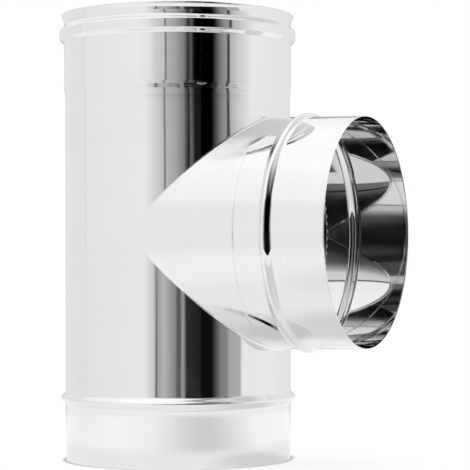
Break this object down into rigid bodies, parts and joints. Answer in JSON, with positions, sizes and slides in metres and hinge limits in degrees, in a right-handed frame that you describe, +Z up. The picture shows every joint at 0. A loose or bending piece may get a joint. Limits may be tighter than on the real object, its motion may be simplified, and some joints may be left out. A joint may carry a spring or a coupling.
{
  "type": "stove pipe tee",
  "caption": "Single-wall flue tee of polished stainless sheet, with a beaded socket on top, a plain spigot below and a level branch with a stop bead.",
  "frame": {"origin": "middle of the footprint on the surface that the tee stands on; the tube's axis is 29 mm from it towards -X", "axes": "+Z up the tube's axis towards the socket, +X out along the branch towards its mouth"},
  "size_m": [0.2156, 0.1574, 0.296],
  "materials": {
    "polished_stainless": "polished"
  },
  "bodies": {
    "root": {"body_tube": "polished_stainless", "branch_saddle": "polished_stainless", "branch_collar": "polished_stainless"}
  },
  "joints": []
}
